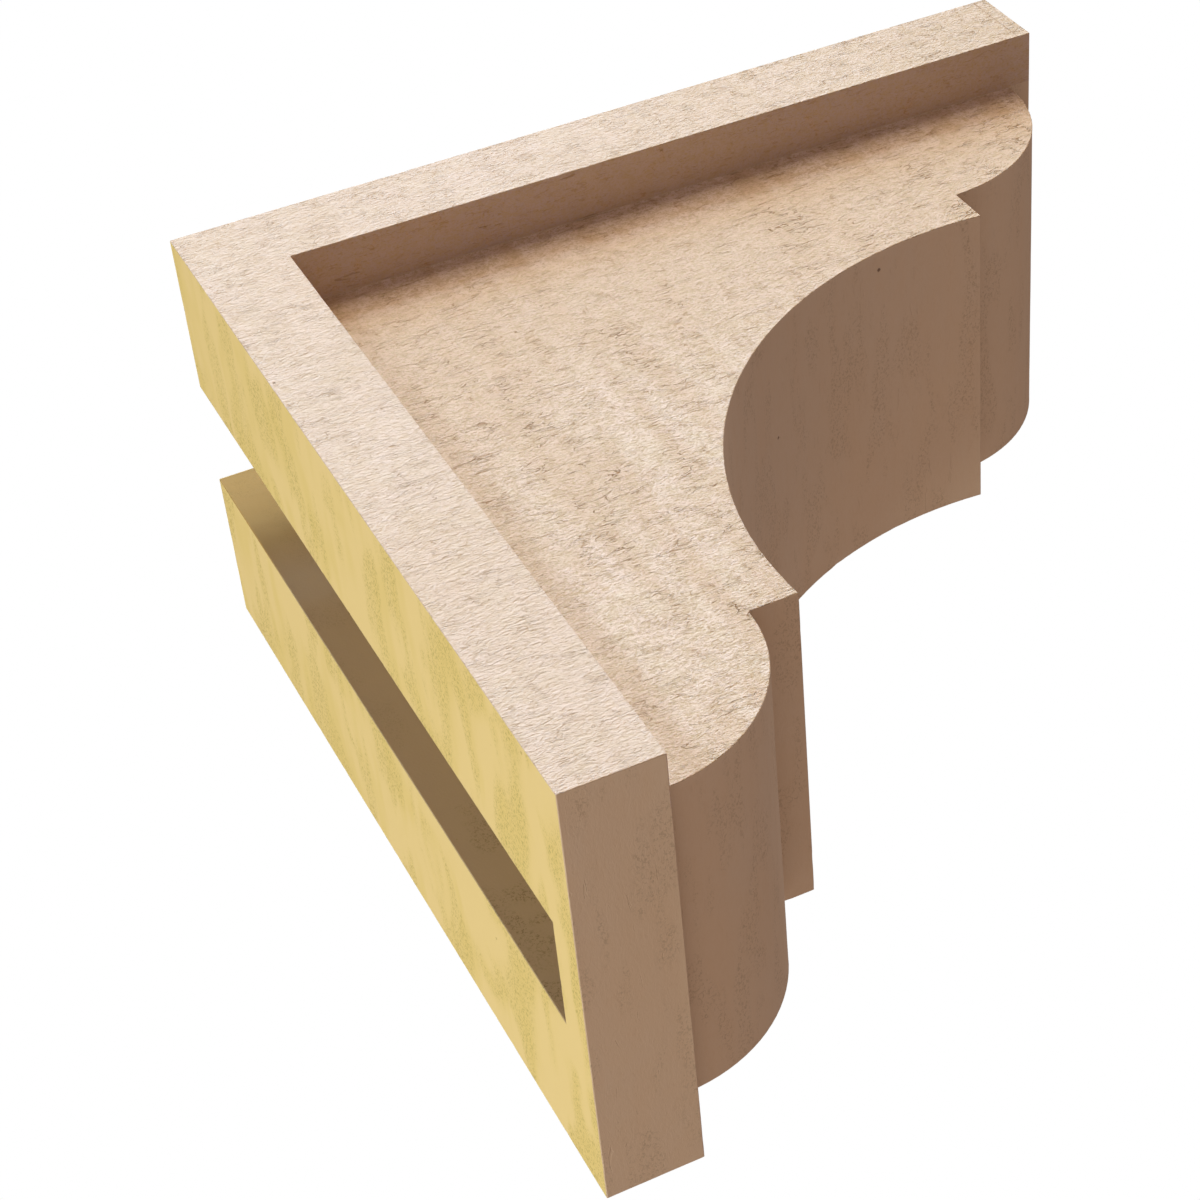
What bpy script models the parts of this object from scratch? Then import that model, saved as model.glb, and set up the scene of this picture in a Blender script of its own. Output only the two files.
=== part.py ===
"""Wall corbel cast in one piece: two plates at a right angle and a narrower cove bracket between them.

The back of the wall plate lies in the plane y = 0 and looks along +Y. The bracket reaches out along -Y, and
the top plate carries its load on the face that looks along +Z. The origin is on the back, on the centre
line, in the middle of the solid strip below the closed end of the mounting channel. Units are metres.

Side outlines are drawn in two distances from the corner where back and top meet: out, away from the wall,
and down, below the top. The outline is the same on both sides of the line out = down.
"""
import math

import bmesh
import bpy

# Driving dimensions
LEG = 0.3048                      # length of either plate, measured from the corner
WIDTH = 0.1524                    # across both plates
PLATE = 0.03048                   # thickness of either plate
PANEL_RECESS = 0.01905            # from the plates' sides in to the bracket's sides
BULGE_RADIUS = 0.053              # quarter round that leaves the plate at a right angle
STEP_DISTANCE = 0.24384           # from the corner to the square step between bulge and cove
COVE_CENTRE = 0.2305              # out and down from the corner
COVE_RADIUS = 0.132
CHANNEL_WIDTH = 0.0381            # takes a batten of nominal two inches
CHANNEL_DEPTH = 0.030             # hidden; about the thickness of the plate
CHANNEL_END_WALL = 0.01524        # solid strip left below the channel

# Heights that follow from them
TOP = LEG - CHANNEL_END_WALL / 2

# How finely the round stretches are cut
BULGE_SIDES = 24
COVE_SIDES = 40

# How far one shape runs into its neighbour, so that the cuts and joins are clean
OVERLAP = 0.010

# Colours, with roughness
PRIMED_FACE = ((0.70, 0.53, 0.40, 1.0), 0.80)
BARE_FOAM = ((0.76, 0.58, 0.22, 1.0), 0.90)


def clear_scene():
    for item in list(bpy.data.objects):
        bpy.data.objects.remove(item, do_unlink=True)


def finish_material(name, look):
    colour, roughness = look
    material = bpy.data.materials.new(name)
    material.use_nodes = True
    shader = material.node_tree.nodes["Principled BSDF"]
    shader.inputs["Base Color"].default_value = colour
    shader.inputs["Roughness"].default_value = roughness
    shader.inputs["Metallic"].default_value = 0.0
    return material


def arc(centre, radius, start, end, sides):
    """Points along an arc, ends included; the angles are in radians, from out towards down."""
    points = []
    for step in range(sides + 1):
        angle = start + (end - start) * step / sides
        points.append((centre[0] + radius * math.cos(angle), centre[1] + radius * math.sin(angle)))
    return points


def extruded(name, outline, width):
    """A solid of the given side outline, (out, down) pairs, centred across the corbel."""
    mesh = bpy.data.meshes.new(name)
    shape = bmesh.new()
    corners = [shape.verts.new((-width / 2, -out, TOP - down)) for out, down in outline]
    side = shape.faces.new(corners)
    swept = bmesh.ops.extrude_face_region(shape, geom=[side])
    moved = [item for item in swept["geom"] if isinstance(item, bmesh.types.BMVert)]
    bmesh.ops.translate(shape, vec=(width, 0.0, 0.0), verts=moved)
    bmesh.ops.recalc_face_normals(shape, faces=shape.faces)
    shape.to_mesh(mesh)
    shape.free()
    solid = bpy.data.objects.new(name, mesh)
    bpy.context.collection.objects.link(solid)
    return solid


def as_guide(solid):
    """Hides a solid that only joins or cuts another, and is no piece of the corbel."""
    solid.hide_render = True
    solid.display_type = "WIRE"
    return solid


def plates():
    """The wall plate and the top plate, one L with its corner at the top of the back."""
    outline = [(0.0, 0.0), (LEG, 0.0), (LEG, PLATE), (PLATE, PLATE), (PLATE, LEG), (0.0, LEG)]
    return extruded("corbel", outline, WIDTH)


def bulge():
    """Outline of the quarter round, from the face of the wall plate to the square step."""
    return arc((PLATE, STEP_DISTANCE), BULGE_RADIUS, math.pi / 2, 0.0, BULGE_SIDES)


def cove():
    """Outline of the cove, from the step on the wall side to the step on the top side."""
    past_quarter = math.asin((STEP_DISTANCE - COVE_CENTRE) / COVE_RADIUS)
    start = math.pi - past_quarter
    end = 1.5 * math.pi + past_quarter
    return arc((COVE_CENTRE, COVE_CENTRE), COVE_RADIUS, start, end, COVE_SIDES)


def bracket():
    """The body between the plates, narrower than they are, with its straight sides let into them."""
    inside = PLATE - OVERLAP
    wall_bulge = bulge()
    top_bulge = [(down, out) for out, down in reversed(wall_bulge)]
    outline = [(inside, inside), (inside, wall_bulge[0][1])]
    outline += wall_bulge + cove() + top_bulge
    outline += [(top_bulge[-1][0], inside)]
    return as_guide(extruded("bracket_guide", outline, WIDTH - 2 * PANEL_RECESS))


def channel():
    """The slot in the back that slides down over a batten; it is open at the top and closed below."""
    closed_end = LEG - CHANNEL_END_WALL
    outline = [(-OVERLAP, -OVERLAP), (CHANNEL_DEPTH, -OVERLAP),
               (CHANNEL_DEPTH, closed_end), (-OVERLAP, closed_end)]
    return as_guide(extruded("channel_guide", outline, CHANNEL_WIDTH))


def combine(target, guide, operation):
    change = target.modifiers.new(operation.title() + " " + guide.name, "BOOLEAN")
    change.operation = operation
    change.solver = "EXACT"
    change.object = guide


def paint(corbel, body, slot):
    """Primer on all that shows; the back and the channel keep the bare skin of the foam."""
    primed = finish_material("primed_face", PRIMED_FACE)
    bare = finish_material("bare_foam", BARE_FOAM)
    for solid in (corbel, body, slot):
        solid.data.materials.append(primed)
        solid.data.materials.append(bare)
    for face in corbel.data.polygons:
        face.material_index = 1 if face.normal.y > 0.9 else 0
    for face in slot.data.polygons:
        face.material_index = 1


def build():
    clear_scene()
    corbel = plates()
    body = bracket()
    slot = channel()
    paint(corbel, body, slot)
    combine(corbel, body, "UNION")
    combine(corbel, slot, "DIFFERENCE")


build()
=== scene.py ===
# %% [markdown]
# # A wall corbel in sawn-wood texture
# The object is one casting of rigid foam: a plate against the wall, a plate above it and a cove bracket
# between them. Its face carries the grain of rough sawn timber under a tan primer, and its back is the bare
# yellow skin of the foam. This script starts from the solid that fixes the size and dresses it: first the
# camera and the light, then the surface as a fine mesh, then the two finishes.

# %% Load the solid
import math

import bmesh
import bpy
from mathutils import Matrix, Vector


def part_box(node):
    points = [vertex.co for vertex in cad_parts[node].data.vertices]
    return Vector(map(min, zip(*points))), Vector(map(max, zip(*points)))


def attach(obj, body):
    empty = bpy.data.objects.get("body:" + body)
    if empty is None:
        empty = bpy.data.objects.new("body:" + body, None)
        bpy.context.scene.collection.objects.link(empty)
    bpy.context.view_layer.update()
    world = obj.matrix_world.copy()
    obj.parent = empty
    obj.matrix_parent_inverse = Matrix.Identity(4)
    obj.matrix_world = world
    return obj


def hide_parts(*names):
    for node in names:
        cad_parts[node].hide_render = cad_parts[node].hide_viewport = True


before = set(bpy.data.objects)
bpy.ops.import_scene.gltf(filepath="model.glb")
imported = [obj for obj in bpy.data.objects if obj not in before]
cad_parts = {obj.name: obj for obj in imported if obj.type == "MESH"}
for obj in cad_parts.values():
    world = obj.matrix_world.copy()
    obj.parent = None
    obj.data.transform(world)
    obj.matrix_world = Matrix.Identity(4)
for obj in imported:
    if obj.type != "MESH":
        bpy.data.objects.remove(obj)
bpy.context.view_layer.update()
NODE = "corbel"
LOW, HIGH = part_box(NODE)
MIDDLE = (LOW + HIGH) / 2
print("legs", round(HIGH.z - LOW.z, 4), "m, width", round(HIGH.x - LOW.x, 4), "m")

# %% [markdown]
# ## Camera
# The picture is taken from behind the corbel and from below it, close up with a long lens. One could aim a
# camera by eye, but the corners of the two plates are a better guide: they fix where the eye is, which way it
# looks and which way is up in the picture. The optical axis lies a little right of the middle, so the lens
# is shifted by as much.

# %% Camera
EYE = Vector((-0.5436, 0.1703, -0.4949))
LOOKS_ALONG = Vector((0.6190, -0.3149, 0.7195))
PICTURE_UP = Vector((-0.7829, -0.3204, 0.5333))
LENS = 84.97
SHIFT = (-0.0833, -0.0125)


def aimed(place, forward, up):
    """Matrix of a thing at place that looks along forward, as cameras and lights look along their own -Z."""
    back = -forward.normalized()
    right = up.cross(back).normalized()
    turn = Matrix((right, back.cross(right), back)).transposed()
    return Matrix.Translation(place) @ turn.to_4x4()


def make_camera():
    data = bpy.data.cameras.new("camera")
    data.sensor_width = 36.0
    data.lens = LENS
    data.shift_x, data.shift_y = SHIFT
    data.clip_start = 0.01
    camera = bpy.data.objects.new("camera", data)
    camera.matrix_world = aimed(EYE, LOOKS_ALONG, PICTURE_UP)
    bpy.context.collection.objects.link(camera)
    bpy.context.scene.camera = camera


make_camera()
print("camera is", round((EYE - MIDDLE).length, 3), "m from the middle of the corbel")

# %% [markdown]
# ## A helper for node trees
# Node trees read better when a node, its settings and its links stand on one line. A value that is another
# node's socket is linked, and any other value is set on the socket itself.

# %% Node helper
def fill(tree, made, values):
    """Links each value that is a socket, and sets any other on the input of that name."""
    for name, value in values.items():
        if isinstance(value, bpy.types.NodeSocket):
            tree.links.new(value, made.inputs[name])
        else:
            made.inputs[name].default_value = value
    return made


def add(tree, kind, values=None, **settings):
    made = tree.nodes.new(kind)
    for name, setting in settings.items():
        setattr(made, name, setting)
    return fill(tree, made, values or {})


def maths(tree, operation, *values):
    made = add(tree, "ShaderNodeMath", dict(enumerate(values)), operation=operation)
    return made.outputs[0]


def vector_maths(tree, operation, *values):
    made = add(tree, "ShaderNodeVectorMath", dict(enumerate(values)), operation=operation)
    return made.outputs[0]


def product(tree, first, *others):
    for other in others:
        first = maths(tree, "MULTIPLY", first, other)
    return first


def total(tree, start, *layers):
    """Start plus every mask times its weight."""
    for mask, weight in layers:
        start = maths(tree, "MULTIPLY_ADD", mask, weight, start)
    return start


def remap(tree, value, low, high, to_low=0.0, to_high=1.0, smooth=True):
    values = {"Value": value, "From Min": low, "From Max": high, "To Min": to_low, "To Max": to_high}
    kind = "SMOOTHSTEP" if smooth else "LINEAR"
    return add(tree, "ShaderNodeMapRange", values, interpolation_type=kind).outputs["Result"]


# %% [markdown]
# ## Light and floor
# The sides are lit from the left by two soft lights, a warm one low down and a cool one above it, so the
# overhang of the top plate throws a wide soft shadow on the bracket that is warmest where it is deepest. Its
# tone is also painted into the primer there, tan in the soft part and rose in the deepest part. A third light
# stands behind and shows the yellow back, and a cool one between it and the key reaches into the channel.
# What looks down or into the cove gets only a dim warm light from all round and a weak one from below, and
# turns brown; a darker primer painted on those faces as shade adds to it. A cool light beyond the corbel
# shows its far side. The background is plain white to the camera only, so that it does not wash out the
# shade. The floor lies far below, as it would under a corbel on a wall.

# %% Light and floor
AMBIENT = (0.315, 0.231, 0.186, 1.0)
LOW_KEY = dict(towards=Vector((-0.86, -0.28, 0.52)), distance=8.0, width=1.8, height=5.2, power=430.0,
               colour=(1.0, 0.84, 0.60))
HIGH_KEY = dict(towards=Vector((-0.62, -0.07, 0.79)), distance=8.0, width=1.4, height=4.3, power=745.0,
                colour=(0.39, 0.66, 1.0))
BACK = dict(towards=Vector((0.10, 0.97, -0.20)), distance=1.8, width=0.8, height=0.8, power=16.0,
            colour=(0.96, 0.98, 0.82))
BETWEEN = dict(towards=Vector((-0.62, 0.55, 0.56)), distance=3.0, width=0.7, height=0.7, power=18.0,
               colour=(0.75, 0.87, 1.0))
BELOW = dict(towards=Vector((0.45, 0.45, -0.77)), distance=1.4, width=0.8, height=0.8, power=2.1,
             colour=(1.0, 0.78, 0.60))
BEYOND = dict(towards=Vector((0.99, -0.02, 0.12)), distance=2.5, width=1.2, height=1.2, power=44.0,
              colour=(0.80, 0.88, 1.0))
FLOOR_DROP = 1.3
FLOOR_SIDE = 60.0
FLOOR_PAINT = (0.30, 0.30, 0.30, 1.0)
FLOOR_GLOW = (0.82, 0.83, 0.84, 1.0)
WHITE = (1.0, 1.0, 1.0, 1.0)


def white_world():
    world = bpy.data.worlds.new("studio")
    world.use_nodes = True
    tree = world.node_tree
    tree.nodes.clear()
    seen = add(tree, "ShaderNodeBackground", {"Color": WHITE, "Strength": 1.0})
    ambient = add(tree, "ShaderNodeBackground", {"Color": AMBIENT, "Strength": 1.0})
    rays = add(tree, "ShaderNodeLightPath")
    both = add(tree, "ShaderNodeMixShader", {0: rays.outputs["Is Camera Ray"], 1: ambient.outputs[0],
                                             2: seen.outputs[0]})
    add(tree, "ShaderNodeOutputWorld", {"Surface": both.outputs[0]})
    bpy.context.scene.world = world


def soft_light(name, towards, distance, width, height, power, colour):
    data = bpy.data.lights.new(name, "AREA")
    data.shape = "RECTANGLE"
    data.size = width
    data.size_y = height
    data.energy = power
    data.color = colour
    light = bpy.data.objects.new(name, data)
    light.matrix_world = aimed(MIDDLE + towards.normalized() * distance, -towards, Vector((0, 0, 1)))
    light.visible_camera = False
    bpy.context.collection.objects.link(light)


def pale_floor():
    mesh = bpy.data.meshes.new("floor")
    shape = bmesh.new()
    bmesh.ops.create_grid(shape, x_segments=1, y_segments=1, size=FLOOR_SIDE / 2)
    bmesh.ops.translate(shape, vec=(0, 0, LOW.z - FLOOR_DROP), verts=shape.verts)
    shape.to_mesh(mesh)
    shape.free()
    floor = bpy.data.objects.new("floor", mesh)
    bpy.context.collection.objects.link(floor)
    paint = bpy.data.materials.new("pale_floor")
    paint.use_nodes = True
    shader = paint.node_tree.nodes["Principled BSDF"]
    shader.inputs["Base Color"].default_value = FLOOR_PAINT
    shader.inputs["Roughness"].default_value = 1.0
    shader.inputs["Emission Color"].default_value = FLOOR_GLOW
    shader.inputs["Emission Strength"].default_value = 1.0
    mesh.materials.append(paint)
    floor.visible_diffuse = False
    floor.visible_glossy = False


bpy.context.scene.view_settings.view_transform = "Standard"
white_world()
soft_light("low_key", **LOW_KEY)
soft_light("high_key", **HIGH_KEY)
soft_light("back", **BACK)
soft_light("between", **BETWEEN)
soft_light("below", **BELOW)
soft_light("beyond", **BEYOND)
pale_floor()

# %% [markdown]
# ## The surface, cut into a grid
# The solid is a few flat and curved faces, far too coarse to carry grain. Remeshing it with voxels would
# round every edge, so it is cut like a loaf instead: thin slices along all three axes leave every face
# divided into small rectangles and keep every edge true. Before that, each edge is broken by a quarter of a
# millimetre, because a casting never leaves its mould quite sharp. The slices lie closest together in height,
# across the grain of the two sides. The tall axis is cut first, while the mesh is still small.

# %% Clean copy with broken edges
EDGE_BREAK = 0.00028
SHARP_ANGLE = math.radians(25)
SLICE = {"z": 0.0013, "y": 0.0024, "x": 0.0025}
MERGE = 1e-6
FLAT_ANGLE = math.radians(0.2)
SQUARE = 0.9999


def clean_copy(node):
    """The solid's own triangles, merged and joined again into whole flat faces."""
    shape = bmesh.new()
    shape.from_mesh(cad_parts[node].data)
    bmesh.ops.remove_doubles(shape, verts=shape.verts, dist=MERGE)
    bmesh.ops.dissolve_limit(shape, angle_limit=FLAT_ANGLE, verts=shape.verts, edges=shape.edges)
    return shape


def break_edges(shape):
    """Rounds every sharp edge and marks the new narrow faces, so that the relief can find them."""
    mark = shape.faces.layers.float.new("edge")
    sharp = [edge for edge in shape.edges if edge.calc_face_angle(0.0) > SHARP_ANGLE]
    made = bmesh.ops.bevel(shape, geom=sharp, offset=EDGE_BREAK, offset_type="OFFSET", segments=2,
                           profile=0.5, affect="EDGES", clamp_overlap=True)
    for face in made["faces"]:
        face[mark] = 1.0
    return len(sharp)


surface = clean_copy(NODE)
print("whole faces", len(surface.faces), "edges broken", break_edges(surface))


# %% Slices
def slice_along(shape, axis, pitch):
    """Cuts the shape at even steps along one axis; a face square to that axis needs no cut."""
    index = "xyz".index(axis)
    normal = Vector((0, 0, 0))
    normal[index] = 1.0
    start, end = LOW[index], HIGH[index]
    count = round((end - start) / pitch)
    faces = [face for face in shape.faces if abs(face.normal[index]) < SQUARE]
    edges = {edge for face in faces for edge in face.edges}
    corners = {corner for face in faces for corner in face.verts}
    to_cut = [*corners, *edges, *faces]
    for step in range(1, count):
        point = normal * (start + (end - start) * step / count)
        cut = bmesh.ops.bisect_plane(shape, geom=to_cut, dist=MERGE, plane_co=point, plane_no=normal)
        to_cut = cut["geom"]


def smooth_between_edges(shape):
    """Shades each face smoothly, but keeps the line between a face and its broken edge crisp."""
    mark = shape.faces.layers.float["edge"]
    for face in shape.faces:
        face.smooth = True
    for edge in shape.edges:
        first, second = edge.link_faces
        if first[mark] != second[mark]:
            edge.smooth = False


surface.normal_update()
for axis, pitch in SLICE.items():
    slice_along(surface, axis, pitch)
smooth_between_edges(surface)
print("faces after slicing", len(surface.faces))

# %% [markdown]
# ## Relief of the casting
# The mould was taken from a rough sawn board. Ripples run with the grain, shallow bands cross it where the
# saw stroke changed, and the whole face is slightly uneven. One could paint this as bump alone, but then the
# mesh itself would stay dead flat. A Geometry Nodes tree moves the points instead. All movement is inwards,
# so the casting never outgrows its solid, and it dies away at the edges, so that they stay straight apart
# from small nicks. The tree also keeps ripples and bands as attributes for the colours, and sorts the faces
# into primed and bare ones.

# %% Sizes of the relief
RELIEF = {
    "Ripple Pitch": 0.0034,
    "Ripple Length": 0.010,
    "Ripple Depth": 0.00008,
    "Band Pitch": 0.009,
    "Band Length": 0.080,
    "Band Depth": 0.00008,
    "Unevenness": 0.00007,
    "Nick Depth": 0.00030,
    "Seed": 7.0,
}
CHANNEL = dict(half_width=0.01905, depth=0.030, closed_end=LOW.z + 0.01524)
REACH = 0.0004
SIDE_FACING = 0.6
BACK_FACING = 0.95


# %% Stretched noise
def cells(tree, position, side, across, along, side_axis="Y"):
    """Position counted in long cells. They lie along side_axis on the two sides and along X elsewhere."""
    short = maths(tree, "DIVIDE", 1.0, across)
    long = maths(tree, "DIVIDE", 1.0, along)
    on_side = {"X": short, "Y": short, "Z": short} | {side_axis: long}
    elsewhere = {"X": long, "Y": short, "Z": short}
    both = [add(tree, "ShaderNodeCombineXYZ", counts).outputs[0] for counts in (elsewhere, on_side)]
    values = {"Factor": side, 4: both[0], 5: both[1]}
    size = add(tree, "ShaderNodeMix", values, data_type="VECTOR").outputs[1]
    return vector_maths(tree, "MULTIPLY", position, size)


def noise(tree, vector, scale=1.0, detail=2.0, roughness=0.5, distortion=0.0):
    values = {"Vector": vector, "Scale": scale, "Detail": detail, "Roughness": roughness,
              "Distortion": distortion}
    return add(tree, "ShaderNodeTexNoise", values, noise_dimensions="3D").outputs["Fac"]


# %% Which faces are bare foam
def split(tree, vector):
    return add(tree, "ShaderNodeSeparateXYZ", {0: vector}).outputs


def is_side(tree, normal):
    """1 on the corbel's two sides and 0 elsewhere."""
    return maths(tree, "GREATER_THAN", maths(tree, "ABSOLUTE", split(tree, normal)["X"]), SIDE_FACING)


def inside_channel(tree, place):
    """1 within the mounting channel, walls included, and 0 outside it; place is three separate numbers."""
    across = maths(tree, "LESS_THAN", maths(tree, "ABSOLUTE", place["X"]), CHANNEL["half_width"] + REACH)
    not_through = maths(tree, "GREATER_THAN", place["Y"], -CHANNEL["depth"] - REACH)
    above_end = maths(tree, "GREATER_THAN", place["Z"], CHANNEL["closed_end"] - REACH)
    below_top = maths(tree, "LESS_THAN", place["Z"], HIGH.z - REACH)
    return product(tree, across, not_through, above_end, below_top)


def is_bare(tree, position, normal):
    """True on the back and in the channel, where the foam was never primed."""
    place = split(tree, position)
    back = maths(tree, "GREATER_THAN", split(tree, normal)["Y"], BACK_FACING)
    near_wall = maths(tree, "GREATER_THAN", place["Y"], -CHANNEL["depth"] / 2)
    either = maths(tree, "MAXIMUM", product(tree, back, near_wall), inside_channel(tree, place))
    return maths(tree, "GREATER_THAN", either, 0.5)


# %% How deep the relief is
ELSEWHERE_DEPTH = 0.3
EDGE_DEPTH = 0.25


def relief_depth(tree, given, position, side):
    """How far each point sinks in, and the ripples and bands that the colours follow."""
    seed = add(tree, "ShaderNodeCombineXYZ", {"X": given["Seed"]}).outputs[0]
    seeded = vector_maths(tree, "ADD", position, seed)
    ripple_cells = cells(tree, seeded, side, given["Ripple Pitch"], given["Ripple Length"])
    ripple = remap(tree, noise(tree, ripple_cells, detail=2.0, distortion=0.6), 0.62, 0.36)
    band_cells = cells(tree, seeded, side, given["Band Pitch"], given["Band Length"], side_axis="Z")
    band = remap(tree, noise(tree, band_cells, detail=2.0, distortion=0.3), 0.44, 0.66)
    uneven = remap(tree, noise(tree, seeded, scale=22.0, detail=1.0), 0.3, 0.7)
    edge = add(tree, "GeometryNodeInputNamedAttribute", {"Name": "edge"}, data_type="FLOAT").outputs[0]
    inner = remap(tree, edge, 0.5, 0.0, EDGE_DEPTH, 1.0)
    nick = product(tree, edge, remap(tree, noise(tree, seeded, scale=150.0, detail=3.0), 0.58, 0.78))

    sawn = total(tree, 0.0, (ripple, given["Ripple Depth"]), (band, given["Band Depth"]))
    sawn = product(tree, sawn, total(tree, ELSEWHERE_DEPTH, (side, 1.0 - ELSEWHERE_DEPTH)))
    broad = product(tree, total(tree, sawn, (uneven, given["Unevenness"])), inner)
    return total(tree, broad, (nick, given["Nick Depth"])), {"ripple": ripple, "band": band}


# %% The relief tree
def keep(tree, geometry, name, value, kind="FLOAT", domain="POINT"):
    values = {"Geometry": geometry, "Name": name, "Value": value}
    return add(tree, "GeometryNodeStoreNamedAttribute", values, data_type=kind, domain=domain).outputs[0]


def set_material(tree, geometry, material, selection=True):
    values = {"Geometry": geometry, "Material": material, "Selection": selection}
    return add(tree, "GeometryNodeSetMaterial", values).outputs[0]


def new_relief_tree():
    """An empty tree with its inputs: the surface, the sizes of the relief and the two finishes."""
    tree = bpy.data.node_groups.new("sawn_relief", "GeometryNodeTree")
    tree.interface.new_socket(name="Geometry", in_out="OUTPUT", socket_type="NodeSocketGeometry")
    tree.interface.new_socket(name="Geometry", in_out="INPUT", socket_type="NodeSocketGeometry")
    for name in RELIEF:
        tree.interface.new_socket(name=name, in_out="INPUT", socket_type="NodeSocketFloat")
    for name in ("Primed", "Bare"):
        tree.interface.new_socket(name=name, in_out="INPUT", socket_type="NodeSocketMaterial")
    return tree, tree.nodes.new("NodeGroupInput").outputs


def relief_tree():
    """Marks the bare faces, sinks every point by its depth and hands out the finishes."""
    tree, given = new_relief_tree()
    position = add(tree, "GeometryNodeInputPosition").outputs[0]
    normal = add(tree, "GeometryNodeInputNormal").outputs[0]
    depth, kept = relief_depth(tree, given, position, is_side(tree, normal))
    inwards = {0: normal, "Scale": product(tree, depth, -1.0)}
    offset = add(tree, "ShaderNodeVectorMath", inwards, operation="SCALE").outputs[0]

    geometry = given["Geometry"]
    for name, value in kept.items():
        geometry = keep(tree, geometry, name, value)
    geometry = keep(tree, geometry, "bare", is_bare(tree, position, normal), kind="BOOLEAN", domain="FACE")
    geometry = add(tree, "GeometryNodeSetPosition", {"Geometry": geometry, "Offset": offset}).outputs[0]
    geometry = add(tree, "GeometryNodeRealizeInstances", {"Geometry": geometry}).outputs[0]
    bare = add(tree, "GeometryNodeInputNamedAttribute", {"Name": "bare"}, data_type="BOOLEAN").outputs[0]
    geometry = set_material(tree, geometry, given["Primed"])
    geometry = set_material(tree, geometry, given["Bare"], bare)
    add(tree, "NodeGroupOutput", {0: geometry})
    return tree


# %% [markdown]
# ## Shared effects
# Both finishes come from the same mould, so they share its marks: strokes of grain, wavy seams, hairline
# cracks, small pits, and specks that gather in soft patches. Each effect is a node group of its own, built
# once, so that each finish only says how large and how strong it is there. The groups count in cells that
# are laid out on the object itself, so the grain keeps its scale on every face.

# %% Shader groups
def new_group(name, inputs, outputs):
    tree = bpy.data.node_groups.new(name, "ShaderNodeTree")
    for socket, kind in inputs.items():
        tree.interface.new_socket(name=socket, in_out="INPUT", socket_type="NodeSocket" + kind)
    for socket, kind in outputs.items():
        tree.interface.new_socket(name=socket, in_out="OUTPUT", socket_type="NodeSocket" + kind)
    return tree, tree.nodes.new("NodeGroupInput").outputs


def sawn_grain_group():
    """Crests and hollows along the grain, and short strokes at the bottom of the deepest hollows."""
    tree, given = new_group("sawn_grain", {"Cells": "Vector", "Wander": "Float"},
                            {"Height": "Float", "Hollow": "Float", "Stroke": "Float"})
    lines = noise(tree, given["Cells"], detail=2.0, roughness=0.6, distortion=given["Wander"])
    height = remap(tree, lines, 0.30, 0.70, smooth=False)
    hollow = remap(tree, lines, 0.54, 0.38)
    stroke = remap(tree, lines, 0.41, 0.31)
    add(tree, "NodeGroupOutput", {"Height": height, "Hollow": hollow, "Stroke": stroke})
    return tree


CRACK_SLOPE = 0.04


def cracks_group():
    """Slits at the lowest places of a stretched noise, pointed at both ends; Level says how many."""
    tree, given = new_group("cracks", {"Cells": "Vector", "Level": "Float"}, {"Mask": "Float"})
    field = noise(tree, given["Cells"], detail=3.0, roughness=0.6, distortion=1.0)
    bottom = maths(tree, "SUBTRACT", given["Level"], CRACK_SLOPE)
    add(tree, "NodeGroupOutput", {"Mask": remap(tree, field, given["Level"], bottom)})
    return tree


def seams_group():
    """Thin wavy lines, drawn where a stretched noise passes its middle value."""
    tree, given = new_group("seams", {"Cells": "Vector", "Width": "Float"}, {"Mask": "Float"})
    field = noise(tree, given["Cells"], detail=2.0, roughness=0.55, distortion=0.5)
    off_middle = maths(tree, "ABSOLUTE", maths(tree, "SUBTRACT", field, 0.5))
    add(tree, "NodeGroupOutput", {"Mask": remap(tree, off_middle, given["Width"], 0.0)})
    return tree


def pits_group():
    """Small holes left by bubbles, one in some of the cells of a loose lattice."""
    inputs = {"Place": "Vector", "Spacing": "Float", "Radius": "Float", "Share": "Float"}
    tree, given = new_group("pits", inputs, {"Mask": "Float"})
    scale = maths(tree, "DIVIDE", 1.0, given["Spacing"])
    lattice = add(tree, "ShaderNodeTexVoronoi", {"Vector": given["Place"], "Scale": scale})
    dice = add(tree, "ShaderNodeSeparateColor", {0: lattice.outputs["Color"]}).outputs
    chosen = maths(tree, "LESS_THAN", dice[0], given["Share"])
    distance = product(tree, lattice.outputs["Distance"], given["Spacing"])
    radius = product(tree, given["Radius"], maths(tree, "MULTIPLY_ADD", dice[1], 0.8, 0.5))
    bowl = remap(tree, distance, radius, product(tree, radius, 0.5))
    add(tree, "NodeGroupOutput", {"Mask": product(tree, bowl, chosen)})
    return tree


PATCH_SLOPE = 0.12


def specks_group():
    """Fine flecks that gather in soft patches, where a slow noise, counted in clusters, is high."""
    inputs = {"Cells": "Vector", "Clusters": "Vector", "Gathering": "Float"}
    tree, given = new_group("specks", inputs, {"Mask": "Float", "Cluster": "Float"})
    fine = noise(tree, given["Cells"], detail=3.0, roughness=0.65, distortion=0.8)
    slow = noise(tree, given["Clusters"], detail=2.0, distortion=0.3)
    cluster = remap(tree, slow, given["Gathering"], maths(tree, "ADD", given["Gathering"], PATCH_SLOPE))
    fleck = remap(tree, fine, 0.50, 0.38)
    add(tree, "NodeGroupOutput", {"Mask": product(tree, fleck, cluster), "Cluster": cluster})
    return tree


SAWN_GRAIN = sawn_grain_group()
CRACKS = cracks_group()
SEAMS = seams_group()
PITS = pits_group()
SPECKS = specks_group()
print("shared effects:", [group.name for group in (SAWN_GRAIN, CRACKS, SEAMS, PITS, SPECKS)])


def use(tree, group, values):
    made = tree.nodes.new("ShaderNodeGroup")
    made.node_tree = group
    return fill(tree, made, values).outputs


# %% [markdown]
# ## Finishes
# Two finishes cover the casting: a tan primer on all that shows once it hangs, and the bare foam on the back.
# Both are quite dull, so light and relief do the work, not gloss. A picture of wood could be wrapped round
# the object, but it would stretch and repeat. The colours are mixed from noise instead: each mark is laid
# over the colours before it, as a painter lays one thin coat over another.

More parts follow.
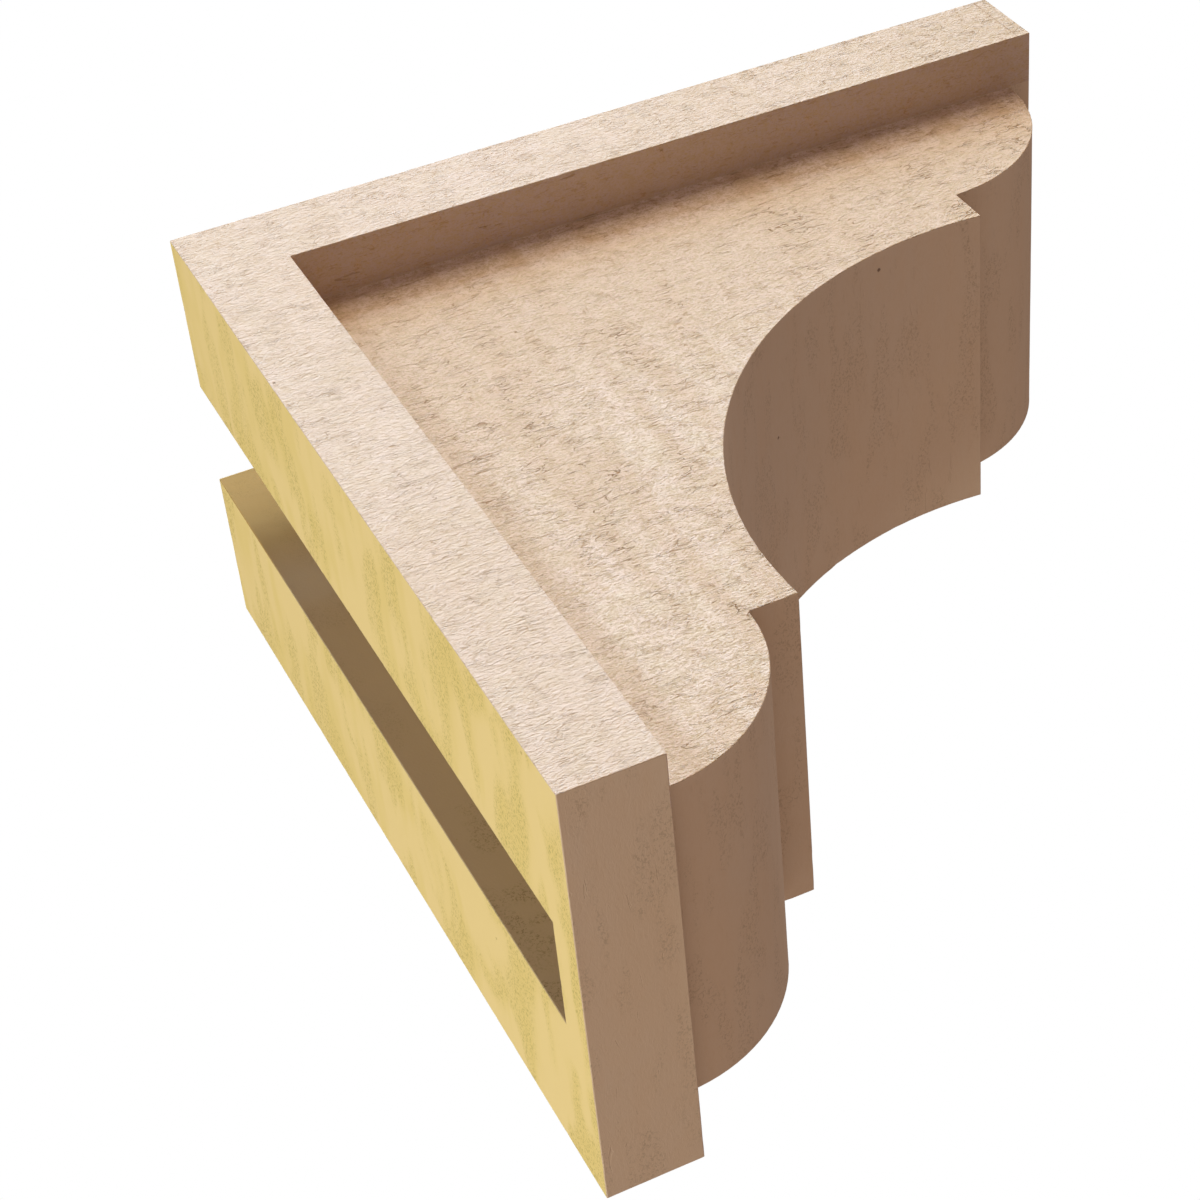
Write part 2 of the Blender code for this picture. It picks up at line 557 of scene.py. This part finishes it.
# %% Material helpers
MILLIMETRE = 0.001
GLOSS = 0.3


def new_material(name, roughness):
    material = bpy.data.materials.new(name)
    material.use_nodes = True
    tree = material.node_tree
    shader = tree.nodes["Principled BSDF"]
    shader.inputs["Roughness"].default_value = roughness
    shader.inputs["Specular IOR Level"].default_value = GLOSS
    return material, tree, shader


def surface_place(tree):
    """Place on the object, and the way that the surface faces there."""
    coordinates = add(tree, "ShaderNodeTexCoord").outputs
    return coordinates["Object"], coordinates["Normal"]


def kept_by_relief(tree, name):
    return add(tree, "ShaderNodeAttribute", attribute_name=name).outputs["Fac"]


def blend(tree, factor, first, second):
    """Colour that goes from first to second; either may be a socket or a plain colour."""
    values = {"Factor": factor, 6: first, 7: second}
    return add(tree, "ShaderNodeMix", values, data_type="RGBA").outputs[2]


def coats(tree, colour, *layers):
    """Lays coat after coat over the first colour; each is a mask, how strongly it shows, and a colour."""
    for mask, share, over in layers:
        colour = blend(tree, product(tree, mask, share), colour, over)
    return colour


def bump(tree, shader, height):
    made = add(tree, "ShaderNodeBump", {"Height": height, "Distance": MILLIMETRE, "Strength": 1.0})
    tree.links.new(made.outputs[0], shader.inputs["Normal"])


# %% [markdown]
# ## The primer
# The primer is a matt tan paint over the sawn grain. It is lighter on the crests, its hollows are darkened
# with tan as painted shade, and a browner tone shows in the seams, the cracks and the pits. More shade is
# painted on it: tan close under the top plate and rose where that plate's shadow is deepest on the near side,
# tan in the corner by the wall plate, and a darker primer on the ledges round the panel and on the smooth
# faces. Towards the outer end it is painted warmer, standing in for a change in the light. The moulded curves
# are smooth, with a little dust in soft streaks. Each of these places could have a material of its own, but
# then a line would show where two of them meet. One material with a soft mask for each place fades from one
# to the next.

# %% Places on the corbel
PANEL_RECESS = 0.01905
PLATE = 0.03048
END_LINE = dict(inset=0.0048, width=0.0005)
# Distances below the top plate and out from the wall plate at which a tone begins and is whole. The tones
# near the top plate and near the wall plate are painted shade, and the warm tone far out stands in for a
# change in the light.
NEAR_TOP = (0.130, 0.040)
OUT_OF_SHADE = (0.008, 0.024)
NEAR_WALL = (0.019, 0.011)
FAR_OUT = (0.08, 0.28)


def places(tree, place, side):
    """Where a place lies: on the panel, on the ledge round it, far out, or next to the top or wall plate."""
    parts = split(tree, place)
    from_middle = maths(tree, "ABSOLUTE", parts["X"])
    outer = maths(tree, "GREATER_THAN", from_middle, HIGH.x - PANEL_RECESS + REACH)
    panel = product(tree, side, maths(tree, "SUBTRACT", 1.0, outer))
    out = maths(tree, "MULTIPLY_ADD", parts["Y"], -1.0, -PLATE)
    down = maths(tree, "MULTIPLY_ADD", parts["Z"], -1.0, HIGH.z - PLATE)
    within = maths(tree, "GREATER_THAN", maths(tree, "MINIMUM", out, down), -REACH)
    ledge = product(tree, outer, maths(tree, "SUBTRACT", 1.0, side), within)
    off_line = maths(tree, "ABSOLUTE", maths(tree, "SUBTRACT", parts["Y"], LOW.y + END_LINE["inset"]))
    # Painted shade: close under the top plate the panel takes a shadow tone, tan where the plate's shadow is
    # soft and rose where it is deepest. The far side has no such shadow, so there all of it takes only the
    # tan.
    near_top = product(tree, panel, remap(tree, down, *NEAR_TOP))
    far_side = maths(tree, "GREATER_THAN", parts["X"], 0.0)
    in_light = product(tree, near_top, maths(tree, "MAXIMUM", remap(tree, down, *OUT_OF_SHADE), far_side))
    return {
        "panel": panel,
        "ledge": ledge,
        "rough": maths(tree, "MAXIMUM", side, ledge),
        "far out": product(tree, side, remap(tree, out, *FAR_OUT)),
        "near top": near_top,
        "near top, painted soft shade": in_light,
        "near top, painted deep shade": maths(tree, "SUBTRACT", near_top, in_light),
        "near wall": product(tree, panel, remap(tree, out, *NEAR_WALL)),
        "end line": product(tree, side, remap(tree, off_line, END_LINE["width"], 0.0)),
    }


# %% Marks on the primer
# Each cell's width across the grain and length along it
GRAIN_CELL = (0.00095, 0.0024)
SAND_CELL = (0.00070, 0.00095)
MOTTLE_CELL = (0.0030, 0.0042)
STROKE_CELL = (0.0009, 0.0042)
CRACK_CELL = (0.0026, 0.018)
SEAM_CELL = (0.0026, 0.011)
SEAM_PATCH = (0.007, 0.013)
FIBRE_CELL = (0.0009, 0.0022)
FIBRE_CLUSTER = (0.0048, 0.0085)
DUST_CELL = (0.0008, 0.0011)
DUST_CLUSTER = (0.009, 0.034)
PRIMER_PITS = {"Spacing": 0.017, "Radius": 0.0006, "Share": 0.5}


def primer_marks(tree, place, rough):
    """Masks of all that marks the primer; dust runs across every face, the rest follows the grain."""
    def laid(size, faces=rough, side_axis="Y"):
        return cells(tree, place, faces, *size, side_axis=side_axis)

    grain = use(tree, SAWN_GRAIN, {"Cells": laid(GRAIN_CELL), "Wander": 0.8})
    seam = use(tree, SEAMS, {"Cells": laid(SEAM_CELL), "Width": 0.021})["Mask"]
    fibre = use(tree, SPECKS, {"Cells": laid(FIBRE_CELL), "Clusters": laid(FIBRE_CLUSTER, side_axis="Z"),
                               "Gathering": 0.60})
    dust = use(tree, SPECKS, {"Cells": laid(DUST_CELL, faces=0.0),
                              "Clusters": laid(DUST_CLUSTER, faces=0.0), "Gathering": 0.48})
    return {
        "height": grain["Height"],
        "hollow": grain["Hollow"],
        "deep hollow": grain["Stroke"],
        "sand": noise(tree, laid(SAND_CELL), detail=2.0, roughness=0.6),
        "mottle": noise(tree, laid(MOTTLE_CELL), detail=5.0, roughness=0.8),
        "stroke": use(tree, CRACKS, {"Cells": laid(STROKE_CELL), "Level": 0.40})["Mask"],
        "crack": use(tree, CRACKS, {"Cells": laid(CRACK_CELL), "Level": 0.33})["Mask"],
        "seam": product(tree, seam, remap(tree, noise(tree, laid(SEAM_PATCH)), 0.42, 0.60)),
        "pit": use(tree, PITS, {"Place": place} | PRIMER_PITS)["Mask"],
        "fibre": fibre["Mask"],
        "fibre cluster": fibre["Cluster"],
        "dust": dust["Mask"],
    }


# %% How strongly the marks show
ON_SMOOTH = 0.16


def primer_shares(tree, place, where, band):
    """How strongly grain, sand and seams show at each place, from 0 to 1."""
    panel, far_out, near_top = where["panel"], where["far out"], where["near top"]
    calm = remap(tree, noise(tree, place, scale=70.0, detail=2.0), 0.36, 0.62, 0.80, 1.0)
    grain = total(tree, 0.54, (panel, -0.24), (far_out, -0.12), (near_top, -0.04))
    seams = total(tree, 0.45, (product(tree, band, panel), 0.65), (near_top, -0.15), (far_out, 0.35))
    sandy = maths(tree, "MAXIMUM", maths(tree, "MAXIMUM", panel, where["ledge"]), far_out)
    return {
        "all": total(tree, ON_SMOOTH, (where["rough"], 1.0 - ON_SMOOTH)),
        "grain": product(tree, calm, grain),
        "sand": total(tree, 0.35, (sandy, 0.55)),
        "seams": seams,
    }


# %% Colours of the primer
PRIMER = (0.775, 0.626, 0.503, 1.0)
PRIMER_WARM = (0.69, 0.52, 0.36, 1.0)
PANEL_PRIMER = (0.832, 0.680, 0.550, 1.0)
# Painted shade: a darker primer for all the smooth faces, the cove, the curves, the ends and the top
SHADED_SMOOTH_PRIMER = (0.68, 0.56, 0.45, 1.0)
# Painted shade: a darker primer on the ledges round the panel, such as the underside of the top plate
LEDGE_PAINTED_SHADE = (0.575, 0.462, 0.450, 1.0)
# Tan of the saw bands, also used as painted shade under the top plate and in the corner by the wall plate
BAND_TAN_AND_SHADE = (0.67, 0.475, 0.32, 1.0)
GREEN_TINT = (0.75, 0.64, 0.45, 1.0)
PINK_TINT = (0.82, 0.65, 0.56, 1.0)
# Tan of the sand and mottle, also used as painted shade in the hollows of the grain
SAND_TAN_AND_HOLLOW_SHADE = (0.57, 0.42, 0.25, 1.0)
# Painted shade: the rosy tone of the deepest shadow close under the top plate
SHADE_ROSE = (0.88, 0.74, 0.74, 1.0)
FIBRE_HALO = (0.66, 0.46, 0.29, 1.0)
FIBRE = (0.42, 0.25, 0.125, 1.0)
SPECK_BROWN = (0.36, 0.28, 0.19, 1.0)
PIT_BROWN = (0.20, 0.13, 0.09, 1.0)


def primer_ground(tree, place, where):
    """The primer's colour: paler on the panel, tan in saw bands, with painted shade and painted warmth on it.
    """
    band, ripple = kept_by_relief(tree, "band"), kept_by_relief(tree, "ripple")
    slow = remap(tree, noise(tree, place, scale=14.0, detail=3.0), 0.35, 0.65)
    tint = noise(tree, place, scale=110.0, detail=3.0, roughness=0.6)
    tint_share = total(tree, 0.15, (where["panel"], 0.20))
    band_share = total(tree, 0.10, (where["panel"], 0.48))
    colour = coats(tree, PRIMER,
                   (where["panel"], 1.0, PANEL_PRIMER),
                   (remap(tree, tint, 0.50, 0.62), tint_share, GREEN_TINT),
                   (remap(tree, tint, 0.50, 0.38), tint_share, PINK_TINT))
    # Painted shade: the smooth faces take a darker primer
    return coats(tree, blend(tree, where["rough"], SHADED_SMOOTH_PRIMER, colour),
                 # Painted shade on the ledges round the panel
                 (where["ledge"], 1.0, LEDGE_PAINTED_SHADE),
                 (slow, 0.25, PRIMER_WARM),
                 # Painted light: the primer grows warmer towards the outer end, standing in for a change in
                 # the light there
                 (where["far out"], 0.25, PRIMER_WARM),
                 # Painted shade below the top plate: tan in the soft part of its shadow, rose in the deepest
                 # part
                 (where["near top, painted soft shade"], 0.70, BAND_TAN_AND_SHADE),
                 (where["near top, painted deep shade"], 0.70, SHADE_ROSE),
                 # Painted shade: a tan strip on the panel in the corner next to the wall plate
                 (where["near wall"], 0.60, BAND_TAN_AND_SHADE),
                 (band, band_share, BAND_TAN_AND_SHADE),
                 (ripple, 0.12, PRIMER_WARM))


def primer_colour(tree, ground, where, marks, shares):
    """The ground with its marks on it, from the broadest to the finest."""
    sandy = product(tree, shares["all"], shares["sand"])
    grained = product(tree, shares["all"], shares["grain"])
    smooth = maths(tree, "SUBTRACT", 1.0, where["rough"])
    return coats(tree, ground,
                 (product(tree, remap(tree, marks["mottle"], 0.53, 0.40), sandy), 0.60, SAND_TAN_AND_HOLLOW_SHADE),
                 (product(tree, remap(tree, marks["sand"], 0.52, 0.36), sandy), 0.75, SAND_TAN_AND_HOLLOW_SHADE),
                 # Painted shade: the hollows of the grain are darkened with tan along with the bump; the
                 # deepest of them also carry short tan strokes of grain
                 (product(tree, marks["hollow"], grained), 0.38, SAND_TAN_AND_HOLLOW_SHADE),
                 (product(tree, marks["deep hollow"], grained), 0.40, SAND_TAN_AND_HOLLOW_SHADE),
                 (product(tree, marks["seam"], shares["all"]), shares["seams"], FIBRE),
                 (product(tree, marks["fibre cluster"], sandy), 0.35, FIBRE_HALO),
                 (product(tree, marks["stroke"], sandy), 0.40, FIBRE),
                 (product(tree, marks["fibre"], sandy), 0.60, FIBRE),
                 (product(tree, marks["crack"], sandy), 0.60, FIBRE),
                 (product(tree, marks["dust"], smooth), 0.40, SPECK_BROWN),
                 (where["end line"], 0.50, FIBRE),
                 (marks["pit"], 0.85, PIT_BROWN))


# %% Fine relief of the primer
def primer_height(tree, side, where, marks, shares):
    """Height in millimetres. All but cracks and pits nearly vanishes away from the two sides."""
    seams = product(tree, marks["seam"], shares["all"], shares["seams"])
    fine = total(tree, 0.0,
                 (product(tree, marks["height"], shares["grain"]), 0.50),
                 (seams, -0.34),
                 (product(tree, marks["sand"], shares["sand"]), 0.60),
                 (marks["fibre"], -0.16),
                 (marks["stroke"], -0.08),
                 (where["end line"], -0.15))
    on_sides = product(tree, fine, total(tree, 0.10, (side, 0.90)))
    cracks = product(tree, marks["crack"], shares["sand"])
    return total(tree, on_sides, (cracks, -0.25), (marks["pit"], -0.40))


def primed_face():
    material, tree, shader = new_material("primed_face", 0.78)
    place, normal = surface_place(tree)
    side = is_side(tree, normal)
    where = places(tree, place, side)
    marks = primer_marks(tree, place, where["rough"])
    shares = primer_shares(tree, place, where, kept_by_relief(tree, "band"))
    ground = primer_ground(tree, place, where)
    colour = primer_colour(tree, ground, where, marks, shares)
    tree.links.new(colour, shader.inputs["Base Color"])
    roughness = remap(tree, marks["height"], 0.0, 1.0, 0.88, 0.70, smooth=False)
    tree.links.new(roughness, shader.inputs["Roughness"])
    bump(tree, shader, primer_height(tree, side, where, marks, shares))
    return material


# %% [markdown]
# ## The bare foam
# The back was never primed. It is the yellow skin of the foam, with soft blotches and with olive specks
# gathered in patches. The walls of the channel are painted darker as shade, brownest towards its open end,
# and speckled towards its closed one. The groups that made flecks and pits on the primer serve again, in
# other sizes.

# %% Bare foam
FOAM = (0.80, 0.65, 0.31, 1.0)
FOAM_BLOTCH = (0.74, 0.60, 0.225, 1.0)
FOAM_SPECK = (0.40, 0.335, 0.09, 1.0)
# Painted shade: darker tones for the walls of the channel, from the lowest part up to the open top
FOAM_CHANNEL_SHADE_LOW = (0.535, 0.415, 0.25, 1.0)
FOAM_CHANNEL_SHADE_MIDDLE = (0.43, 0.245, 0.062, 1.0)
FOAM_CHANNEL_SHADE_TOP = (0.37, 0.23, 0.068, 1.0)
CUT_SPECK = (0.22, 0.165, 0.07, 1.0)
BLOTCH_CELL = (0.016, 0.045)
FOAM_SPECK_CELL = (0.00085, 0.0011)
FOAM_SPECK_CLUSTER = (0.017, 0.045)
FOAM_PITS = {"Spacing": 0.015, "Radius": 0.0005, "Share": 0.5}
# Distances below the top at which the painted shade on the channel walls changes, and at which they grow
# speckled
CHANNEL_SHADE_TO_MIDDLE = (0.005, 0.030)
CHANNEL_SHADE_TO_LOW = (0.040, 0.080)
CUT_SPECKLED = (0.15, 0.27)


def bare_foam():
    material, tree, shader = new_material("bare_foam", 0.85)
    place = surface_place(tree)[0]
    blotch_cells = cells(tree, place, 0.0, *BLOTCH_CELL)
    blotch = remap(tree, noise(tree, blotch_cells, detail=2.0, distortion=0.3), 0.42, 0.66)
    specks = use(tree, SPECKS, {"Cells": cells(tree, place, 0.0, *FOAM_SPECK_CELL),
                                "Clusters": cells(tree, place, 0.0, *FOAM_SPECK_CLUSTER), "Gathering": 0.47})
    pits = use(tree, PITS, {"Place": place} | FOAM_PITS)["Mask"]
    sand = noise(tree, place, scale=1100.0, detail=2.0, roughness=0.6)

    parts = split(tree, place)
    channel = inside_channel(tree, parts)
    down = maths(tree, "MULTIPLY_ADD", parts["Z"], -1.0, HIGH.z)
    # Painted shade on the channel walls, its tone changing with depth below the open top
    cut = coats(tree, FOAM_CHANNEL_SHADE_TOP,
                (remap(tree, down, *CHANNEL_SHADE_TO_MIDDLE), 1.0, FOAM_CHANNEL_SHADE_MIDDLE),
                (remap(tree, down, *CHANNEL_SHADE_TO_LOW), 1.0, FOAM_CHANNEL_SHADE_LOW))
    speckled = remap(tree, down, *CUT_SPECKLED, 0.10, 0.70)
    colour = coats(tree, FOAM,
                   (blotch, 0.65, FOAM_BLOTCH),
                   (specks["Cluster"], 0.40, FOAM_BLOTCH),
                   (specks["Mask"], 0.60, FOAM_SPECK),
                   (channel, 0.95, cut),
                   (product(tree, specks["Mask"], channel), speckled, CUT_SPECK),
                   (pits, 0.70, FOAM_SPECK))
    tree.links.new(colour, shader.inputs["Base Color"])
    bump(tree, shader, total(tree, 0.0, (sand, 0.06), (specks["Mask"], -0.03), (pits, -0.30)))
    return material


PRIMED = primed_face()
BARE = bare_foam()
print("finishes:", PRIMED.name, "and", BARE.name)

# %% [markdown]
# ## The dressed casting
# Now the tree runs on the sliced surface. Its inputs are set on the modifier before anything is evaluated,
# the result is kept as a plain mesh, and the modifier goes away with its object. The casting stands for the
# plain solid, which stays behind for collisions.

# %% Build the casting
def run_tree(shape, tree, values):
    """Sends the shape through a Geometry Nodes tree and gives the result back as a plain mesh."""
    mesh = bpy.data.meshes.new("sliced")
    shape.to_mesh(mesh)
    shape.free()
    carrier = bpy.data.objects.new("carrier", mesh)
    bpy.context.collection.objects.link(carrier)
    modifier = carrier.modifiers.new("relief", "NODES")
    modifier.node_group = tree
    sockets = {item.name: item.identifier for item in tree.interface.items_tree
               if item.item_type == "SOCKET" and item.in_out == "INPUT"}
    for name, value in values.items():
        modifier[sockets[name]] = value
    depsgraph = bpy.context.evaluated_depsgraph_get()
    result = bpy.data.meshes.new_from_object(carrier.evaluated_get(depsgraph))
    bpy.data.objects.remove(carrier, do_unlink=True)
    bpy.data.meshes.remove(mesh)
    return result


casting_mesh = run_tree(surface, relief_tree(), RELIEF | {"Primed": PRIMED, "Bare": BARE})
casting_mesh.name = "casting"
casting = bpy.data.objects.new("casting", casting_mesh)
bpy.context.collection.objects.link(casting)
triangles = sum(len(face.vertices) - 2 for face in casting_mesh.polygons)
print("casting:", triangles, "triangles,", len(casting_mesh.materials), "finishes")

# %% Put it in the frame
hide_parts(NODE)
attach(casting, "root")
